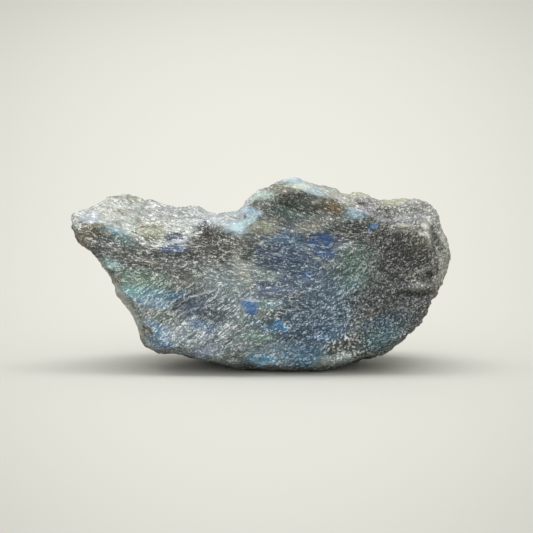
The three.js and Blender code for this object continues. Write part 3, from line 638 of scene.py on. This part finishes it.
# where the rubbed face stops under the pale broken crown: [across, up along the lean] in millimetres
BROW_LINE = [
    (-60, 41.3), (-48.8, 41.9), (-44.5, 42.2), (-41.1, 41.0), (-37.9, 39.3), (-34.5, 37.3), (-31.7, 35.9),
    (-27.9, 35.0), (-23.7, 34.7), (-20.8, 36.2), (-18.2, 38.2), (-16.2, 40.5), (-13.9, 41.9), (-8.8, 42.2),
    (-5.9, 43.3), (-4.2, 46.2), (-2.5, 49.0), (0.4, 51.0), (4.1, 53.3), (8.4, 54.2), (12.1, 52.5),
    (16.4, 50.8), (21.2, 49.6), (24.1, 47.3), (28.9, 45.9), (33.5, 43.6), (38.4, 42.7), (44.1, 42.2),
    (46.7, 40.5), (48.4, 36.5), (50.1, 31.9), (60, 25),
]
CURVE_SPAN = 120  # millimetres of the line that the curve's whole width stands for

STONE_TONE = (126, 128, 122)
DARK_TONE = (86, 89, 84)
DRIFT = {"size": 7, "from": 0.38, "to": 0.64}  # soft change between the two
CROWN_TONES = ((180, 184, 180), (175, 179, 180), (164, 166, 160))  # left, saddle, thick end
CROWN_PARTS = {"saddle": (-24, -8), "thick end": (6, 24)}  # where each begins and is full, across
CROWN_EDGE = (-0.7, 0.9)  # the same, over the brow line
MOTTLE = {"size": 3, "dark": 0.78, "light": 1.12}
RAGGED = {"size": (1.9, 1, 0.8), "grain": 0.22, "reach": 1.5}  # how ragged the patches' edges are
PATCH_EDGE = (1.45, 0.6)  # how far out a patch begins and is full, in its half-sizes
HUE_SHIFT = 0.09  # how far the hue wanders from grain to grain
HUE_SIZE = 1.3


def brow_height(finish, across):
    """The brow line's height over a place, in millimetres."""
    made = finish.node("ShaderNodeFloatCurve")
    curve = made.mapping.curves[0]
    share = [(x / CURVE_SPAN + 0.5, w / CURVE_SPAN) for x, w in BROW_LINE]
    curve.points[0].location = share[0]
    curve.points[1].location = share[-1]
    for x, w in share[1:-1]:
        curve.points.new(x, w)
    made.mapping.update()
    finish.put(made.inputs["Value"], finish.sum("MULTIPLY_ADD", across, 1 / CURVE_SPAN, 0.5))
    return finish.sum("MULTIPLY", made.outputs[0], CURVE_SPAN)


def turned(finish, vector, turn):
    """The vector seen along a lie that rises to the right by some degrees."""
    view = finish.mapping(vector, turn=(0, -math.radians(turn), 0))
    return finish.vector("ADD", view, (0, 0, 0))


def reach_of(finish, vector, at, size):
    """How far a place is from a box's middle: 1 at its sides."""
    scale = [1 / v for v in size]
    shift = [-m * k for m, k in zip(at, scale)]
    box = finish.vector("MULTIPLY_ADD", vector, scale, shift)
    return finish.node("ShaderNodeVectorMath", {0: box}, operation="LENGTH").outputs["Value"]


def turned_middle(at, turn):
    """A box's middle as seen along a lie."""
    return Matrix.Rotation(math.radians(turn), 3, "Y") @ Vector(at)


CREASE_PATCH = {"depth": 10, "wider": 1.3}
TURN_STEP = 10  # patches share their turns, so that the material stays small


def crease_patches():
    """Each crease as a long thin patch, turned to the nearest step."""
    made = []
    for name, start, end, width, tone, strength, _ in PLACED_CREASES:
        across, up = end[0] - start[0], end[1] - start[1]
        turn = TURN_STEP * round(math.degrees(math.atan2(up, across)) / TURN_STEP)
        middle = ((start[0] + end[0]) / 2, CREASE_DEPTH, (start[1] + end[1]) / 2)
        size = (math.hypot(across, up) / 2 + width, CREASE_PATCH["depth"], CREASE_PATCH["wider"] * width)
        made.append((name, middle, size, turn, tone, strength))
    return made


def stone_tone(finish, wavy, bent, grain, patches):
    """The stone's tone before its grain: soft changes, the pale crown, then each named patch."""
    drift = finish.between(finish.cloud(wavy, DRIFT["size"], 3), DRIFT["from"], DRIFT["to"])
    tone = finish.blend(drift, linear(DARK_TONE), linear(STONE_TONE))
    across, _, up = finish.parts(bent)
    pale_left, pale_saddle, pale_end = (linear(t) for t in CROWN_TONES)
    crown = finish.blend(finish.between(across, *CROWN_PARTS["saddle"]), pale_left, pale_saddle)
    crown = finish.blend(finish.between(across, *CROWN_PARTS["thick end"]), crown, pale_end)
    mottle = finish.cloud(wavy, MOTTLE["size"], 2)
    mottle = finish.between(mottle, 0.3, 0.7, MOTTLE["dark"], MOTTLE["light"])
    mottle = finish.node("ShaderNodeCombineColor", {0: mottle, 1: mottle, 2: mottle}).outputs[0]
    crown = finish.blend(1.0, crown, mottle, "MULTIPLY")
    above = finish.sum("SUBTRACT", up, brow_height(finish, across))
    tone = finish.blend(finish.between(above, *CROWN_EDGE), tone, crown)
    ragged = finish.sum("SUBTRACT", finish.cloud(finish.mapping(bent, size=RAGGED["size"]), 1, 3), 0.5)
    ragged = finish.sum("MULTIPLY_ADD", finish.sum("SUBTRACT", grain, 0.5), RAGGED["grain"], ragged)
    lies = {turn: turned(finish, wavy, turn) for turn in sorted({patch[3] for patch in patches})}
    for _, at, size, turn, colour, strength in patches:
        reach = reach_of(finish, lies[turn], turned_middle(at, turn), size)
        reach = finish.sum("MULTIPLY_ADD", ragged, RAGGED["reach"], reach)
        tone = finish.blend(finish.between(reach, *PATCH_EDGE, 0.0, strength), tone, linear(colour))
    # small shifts of hue from grain to grain
    tint = finish.blend(HUE_SHIFT, (0.5, 0.5, 0.5), finish.cloud(wavy, HUE_SIZE, 2, colour=True))
    return finish.blend(1.0, tone, finish.vector("MULTIPLY", tint, (2, 2, 2)), "MULTIPLY")


LEVEL_LIE = {"turn": -3, "fibre": (2.3, 0.62, 0.62)}  # degrees, then length, depth and width in millimetres
# How the fibres lie elsewhere: middle and half-sizes [across, up] in millimetres, the rise to the right in
# degrees, then the fibres' length, depth and width in millimetres.
LIES = [
    ("under the brow", (-26, 31), (32, 11), -6, (2.3, 0.7, 0.62)),
    ("left", (-24, 13), (25, 15), 38, (2.8, 0.8, 0.64)),
    ("low middle", (14, 9), (17, 9), 38, (2.2, 0.7, 0.62)),
    ("right of the middle", (22, 24), (8, 12), 40, (1.9, 0.7, 0.6)),
    ("scoop", (9, 47), (17, 8), -24, (2.3, 0.7, 0.6)),
    ("crown", (-34, 46), (28, 8), -20, (2.2, 1.1, 0.66)),
    ("thick end", (43, 24), (15, 42), 35, (0.9, 0.9, 0.56)),
    ("side of the thick end", (54, 33), (5.5, 18), 60, (1.3, 2.2, 0.7)),
]
ALL_DEPTHS = 1000  # a half-size that takes in the whole stone
LIE_EDGE = {"size": 3, "ragged": 0.7, "at": 1.35}
# Parts rubbed so smooth that the grain shows less: middle and half-sizes [across, deep, up] in millimetres,
# the turn in degrees, and how much of the grain is gone.
CALM = [
    ("left edge", (-39.0, -15, 19.3), (11, 8, 2.4), -60, 0.5),
    ("facet by the stain", (16.0, -15, 48.0), (2.4, 10, 2.8), 20, 0.75),
    ("brown stain", (21.0, -16, 47.4), (3.6, 8, 2.2), -10, 0.5),
    ("slate hollow", (-19.8, -20, 19.2), (4.6, 8, 2.8), 20, 0.4),
    ("vivid blue", (-3.3, -20, 19.4), (2.8, 8, 2.4), 0, 0.5),
    ("royal blue", (18.0, -19, 38.7), (5.0, 8, 2.2), 0, 0.35),
    ("sky blue brow", (-7.1, -14, 41.3), (3.9, 9, 2.2), -10, 0.5),
]
CALM_EDGE = (1.25, 0.8)
CALM_GRAIN = 0.42  # the grain's level where it doesn't show
SPECKLED = (24.6, -18.5, 7.4), (8.0, 9, 5.2)  # middle and half-sizes [across, deep, up] of the speckled part
SPECKLED_EDGE = (1.25, 0.7)
SPECKLED_GRAIN = 0.4  # the share of the grain that stays there
PALE_GRAINS = {"size": 0.8, "from": 0.45, "to": 0.6, "light": 0.85}
# The fabric of fibres: a soft cloud, and thin strokes that cross it, light and dark.
FABRIC = {"from": 0.38, "to": 0.62, "light": 0.68}
LIGHT_STROKES = {"at": (31, 0, 17), "turn": -0.6, "thin": 0.055, "weight": 0.62}
DARK_STROKES = {"at": (11, 0, 57), "turn": 0.7, "thin": 0.06, "weight": -0.55}
LONG_SEAMS = {"turn": 0.06, "size": (6.5, 3, 1.7), "thin": 0.05, "weight": 0.45}
LONG_SEAM_BAND = {"left": (-12, -2), "right": (30, 20)}  # where they begin and are full, across
SPECKLE = {"size": 0.4, "from": 0.38, "to": 0.62, "weight": 0.58}
SPECKS = {"per mm": 1.3, "edge": (0.42, 0.2), "few": (0.84, 0.9), "weight": 0.6}


def grain_lie(finish, bent):
    """The vector seen along the fibres, in lengths and widths of one fibre."""
    lie = finish.mapping(bent, turn=(0, -math.radians(LEVEL_LIE["turn"]), 0), size=LEVEL_LIE["fibre"])
    ragged = finish.cloud(finish.mapping(bent, size=(LIE_EDGE["size"],) * 3), 1, 2)
    for _, at, size, turn, fibre in LIES:
        view = finish.mapping(bent, turn=(0, -math.radians(turn), 0), size=fibre)
        reach = reach_of(finish, bent, (at[0], 0, at[1]), (size[0], ALL_DEPTHS, size[1]))
        reach = finish.sum("MULTIPLY_ADD", ragged, LIE_EDGE["ragged"], reach)
        lie = finish.blend_vector(finish.sum("LESS_THAN", reach, LIE_EDGE["at"]), lie, view)
    return lie


def strokes(finish, vector, thin):
    """Thin wandering lines: where a cloud passes its middle."""
    off = finish.sum("ABSOLUTE", finish.sum("SUBTRACT", finish.cloud(vector, 1, 1.5), 0.5))
    return finish.between(off, thin, 0)


def fibres(finish, lie):
    """A fabric of light and dark fibres, about 0.5 on the whole."""
    fabric = finish.cloud(lie, 1, 4, rough=0.65)
    fabric = finish.between(fabric, FABRIC["from"], FABRIC["to"], 0.0, FABRIC["light"])
    for kind in (LIGHT_STROKES, DARK_STROKES):
        view = finish.mapping(lie, at=kind["at"], turn=(0, kind["turn"], 0))
        fabric = finish.sum("MULTIPLY_ADD", strokes(finish, view, kind["thin"]), kind["weight"], fabric)
    return fabric


def stone_grain(finish, plane, bent):
    """0 in the dark seams to 1 on the whitish grains."""
    grain = fibres(finish, grain_lie(finish, bent))
    # long level seams across the middle
    across = finish.parts(bent)[0]
    view = finish.mapping(bent, turn=(0, LONG_SEAMS["turn"], 0), size=LONG_SEAMS["size"])
    seams = strokes(finish, view, LONG_SEAMS["thin"])
    left = finish.between(across, *LONG_SEAM_BAND["left"])
    middle = finish.sum("MULTIPLY", left, finish.between(across, *LONG_SEAM_BAND["right"]))
    seams = finish.sum("MULTIPLY", finish.sum("MULTIPLY", seams, middle), LONG_SEAMS["weight"])
    grain = finish.sum("SUBTRACT", grain, seams)
    # a few round pale specks
    cells = finish.node("ShaderNodeTexVoronoi", {"Vector": bent, "Scale": SPECKS["per mm"]}, feature="F1")
    own = finish.node("ShaderNodeSeparateColor", {0: cells.outputs["Color"]}).outputs[0]
    specks = finish.between(cells.outputs["Distance"], *SPECKS["edge"])
    specks = finish.sum("MULTIPLY", specks, finish.between(own, *SPECKS["few"]))
    grain = finish.sum("MULTIPLY_ADD", specks, SPECKS["weight"], grain)
    # a fine speckle, light and dark, all over
    speckle = finish.cloud(plane, SPECKLE["size"], 2, rough=0.7)
    speckle = finish.between(speckle, SPECKLE["from"], SPECKLE["to"], -0.5, 0.5)
    grain = finish.sum("MULTIPLY_ADD", speckle, SPECKLE["weight"], grain, clamp=True)
    # pale grains crowd the speckled part
    pale = finish.cloud(bent, PALE_GRAINS["size"], 2, rough=0.6)
    pale = finish.between(pale, PALE_GRAINS["from"], PALE_GRAINS["to"], 0.0, PALE_GRAINS["light"])
    crowded = finish.sum("MULTIPLY_ADD", grain, SPECKLED_GRAIN, pale, clamp=True)
    speckled = finish.between(reach_of(finish, bent, *SPECKLED), *SPECKLED_EDGE)
    grain = finish.blend_number(speckled, grain, crowded)
    # and the smoothest parts lose their grain
    for _, at, size, turn, gone in CALM:
        reach = reach_of(finish, turned(finish, bent, turn), turned_middle(at, turn), size)
        grain = finish.blend_number(finish.between(reach, *CALM_EDGE, 0, gone), grain, CALM_GRAIN)
    return grain


# How places are pushed about before they are coloured: each cloud's size and reach in millimetres, and detail.
BENT = ((2.6, 0.34, 2),)
WAVY = ((8, 1.1, 2), (1.4, 0.6, 2))
LOOSE = ((14, 14, 1), (5, 4, 2))
BACK_FROM = (-5, 8)  # millimetres deep where the back begins and is full
CONTRAST = {"up": (14, 42), "strength": (1.4, 1.16)}  # how strongly the grain shows, low and high up
ROUGHNESS = (0.62, 0.42)  # in the seams and on the grains
BUMP = {"Strength": 0.8, "Distance": 0.00022}
FELDSPAR_IOR = 1.56


def labradorite(tree):
    """Pale and blue-flashing stone with whitish grains; the tree tells how deep its patches go."""
    finish = Finish("labradorite")
    place = finish.node("ShaderNodeTexCoord").outputs["Object"]
    flat = finish.mapping(place, at=(0, FOOT_DEPTH * MM, 0), turn=(-LEAN, 0, 0), size=(MM, MM, MM))
    # back from the leaning plane's own zero to the depth that the patches are given in
    plane = finish.vector("ADD", flat, (0, FOOT_DEPTH, 0))
    bent = finish.warped(plane, BENT)
    wavy = finish.warped(plane, WAVY)
    # away from the front the patches wander further
    deep = finish.parts(plane)[1]
    wavy = finish.blend_vector(finish.between(deep, *BACK_FROM), wavy, finish.warped(wavy, LOOSE))

    grain = stone_grain(finish, plane, bent)
    patches = placed_patches(tree) + BACK_PATCHES + crease_patches()
    tone = stone_tone(finish, wavy, bent, grain, patches)
    up = finish.parts(plane)[2]
    strength = finish.between(up, *CONTRAST["up"], *CONTRAST["strength"], soft=False)
    contrast = finish.sum("MULTIPLY_ADD", finish.sum("SUBTRACT", 0.5, grain), strength, 1.0)
    colour = finish.node("ShaderNodeGamma", {"Color": tone, "Gamma": contrast}).outputs[0]
    finish.put(finish.shader.inputs["Base Color"], colour)
    finish.put(finish.shader.inputs["Roughness"], finish.between(grain, 0.0, 1.0, *ROUGHNESS, soft=False))
    bump = finish.node("ShaderNodeBump", {**BUMP, "Height": grain})
    finish.put(finish.shader.inputs["Normal"], bump.outputs[0])
    finish.shader.inputs["IOR"].default_value = FELDSPAR_IOR
    return finish.material


# ---------- Floor and light ----------

FLOOR_SIZE = 9
# the pool of light painted into the floor's colour, in metres: where it is brightest, how far it reaches each
# way, how it fans out, its least width, where its edge begins and is full, and how many reaches are worked out
POOL_MIDDLE = 0.12
POOL_REACH = {"side": 0.086, "front": 0.32, "back": 1.23}
POOL_FAN = 0.92
POOL_LEAST = 0.3
POOL_EDGE = (-0.6, 2.8)
POOL_SPAN = 4
PAINTED_POOL_TONE = (236, 235, 228)
FLOOR_TONE = (200, 199, 192)
FLOOR_ROUGHNESS = 0.9
FLOOR_SHINE = 0.1

OVERHEAD = {"leans": (-28, -14, 0, 14, 28), "energy": 0.3, "angle": 22, "at": (0.1, 2)}
SOFTBOX = {"at": (-0.2, -0.7, 0.8), "size": (0.8, 0.4), "energy": 10}
LIT_POINT = (0, 0, 0.03)
STUDIO_TONE = (250, 250, 246)
STUDIO_STRENGTH = 0.64


def floor():
    """A pale floor with a painted pool of light, brightest in a long pool round the stone and behind it."""
    bpy.ops.mesh.primitive_plane_add(size=FLOOR_SIZE)
    item = bpy.context.object
    item.name = "floor"
    finish = Finish("pale floor")
    place = finish.node("ShaderNodeTexCoord").outputs["Object"]
    across, deep, _ = finish.parts(place)
    far_front = POOL_MIDDLE - POOL_REACH["front"] * POOL_SPAN
    far_back = POOL_MIDDLE + POOL_REACH["back"] * POOL_SPAN
    front = finish.between(deep, POOL_MIDDLE, far_front, 0, POOL_SPAN, soft=False)
    back = finish.between(deep, POOL_MIDDLE, far_back, 0, POOL_SPAN, soft=False)
    run = finish.sum("MAXIMUM", front, back)
    reach = finish.sum("MAXIMUM", finish.sum("MULTIPLY_ADD", deep, POOL_FAN, 1.0), POOL_LEAST)
    side = finish.sum("DIVIDE", across, finish.sum("MULTIPLY", reach, POOL_REACH["side"]))
    away = finish.sum("ADD", finish.sum("MULTIPLY", side, side), finish.sum("MULTIPLY", run, run))
    # the painted pool of light: the floor's colour is lighter inside the pool
    tone = finish.blend(finish.between(away, *POOL_EDGE), linear(PAINTED_POOL_TONE), linear(FLOOR_TONE))
    finish.put(finish.shader.inputs["Base Color"], tone)
    finish.shader.inputs["Roughness"].default_value = FLOOR_ROUGHNESS
    finish.shader.inputs["Specular IOR Level"].default_value = FLOOR_SHINE
    item.data.materials.append(finish.material)


def aimed(item, at):
    item.location = at
    item.rotation_euler = (Vector(LIT_POINT) - Vector(at)).to_track_quat("-Z", "Y").to_euler()
    bpy.context.scene.collection.objects.link(item)


def overhead_lights():
    """A long overhead softbox, made of wide suns side by side."""
    back, height = OVERHEAD["at"]
    for lean in OVERHEAD["leans"]:
        sun = bpy.data.lights.new("overhead light", "SUN")
        sun.energy = OVERHEAD["energy"]
        sun.angle = math.radians(OVERHEAD["angle"])
        side = math.tan(math.radians(lean)) * height
        aimed(bpy.data.objects.new(sun.name, sun), (side, back, height))


def stone_light(stone):
    """A softbox over the camera's shoulder that lights only the stone."""
    box = bpy.data.lights.new("stone softbox", "AREA")
    box.shape = "RECTANGLE"
    box.size, box.size_y = SOFTBOX["size"]
    box.energy = SOFTBOX["energy"]
    item = bpy.data.objects.new("stone softbox", box)
    aimed(item, SOFTBOX["at"])
    lit = bpy.data.collections.new("lit by the softbox")
    lit.objects.link(stone)
    item.light_linking.receiver_collection = lit


def studio():
    world = bpy.data.worlds.new("studio")
    world.use_nodes = True
    sky = world.node_tree.nodes["Background"]
    sky.inputs["Color"].default_value = (*linear(STUDIO_TONE), 1)
    sky.inputs["Strength"].default_value = STUDIO_STRENGTH
    bpy.context.scene.world = world
    bpy.context.scene.view_settings.view_transform = "Standard"


# ---------- The scene ----------

camera()
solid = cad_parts["labradorite_chunk"]
stone = stone_piece(solid)
stone.data.materials.clear()
stone.data.materials.append(labradorite(sight_tree(solid)))
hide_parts("labradorite_chunk")
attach(stone, "root")
floor()
overhead_lights()
stone_light(stone)
studio()
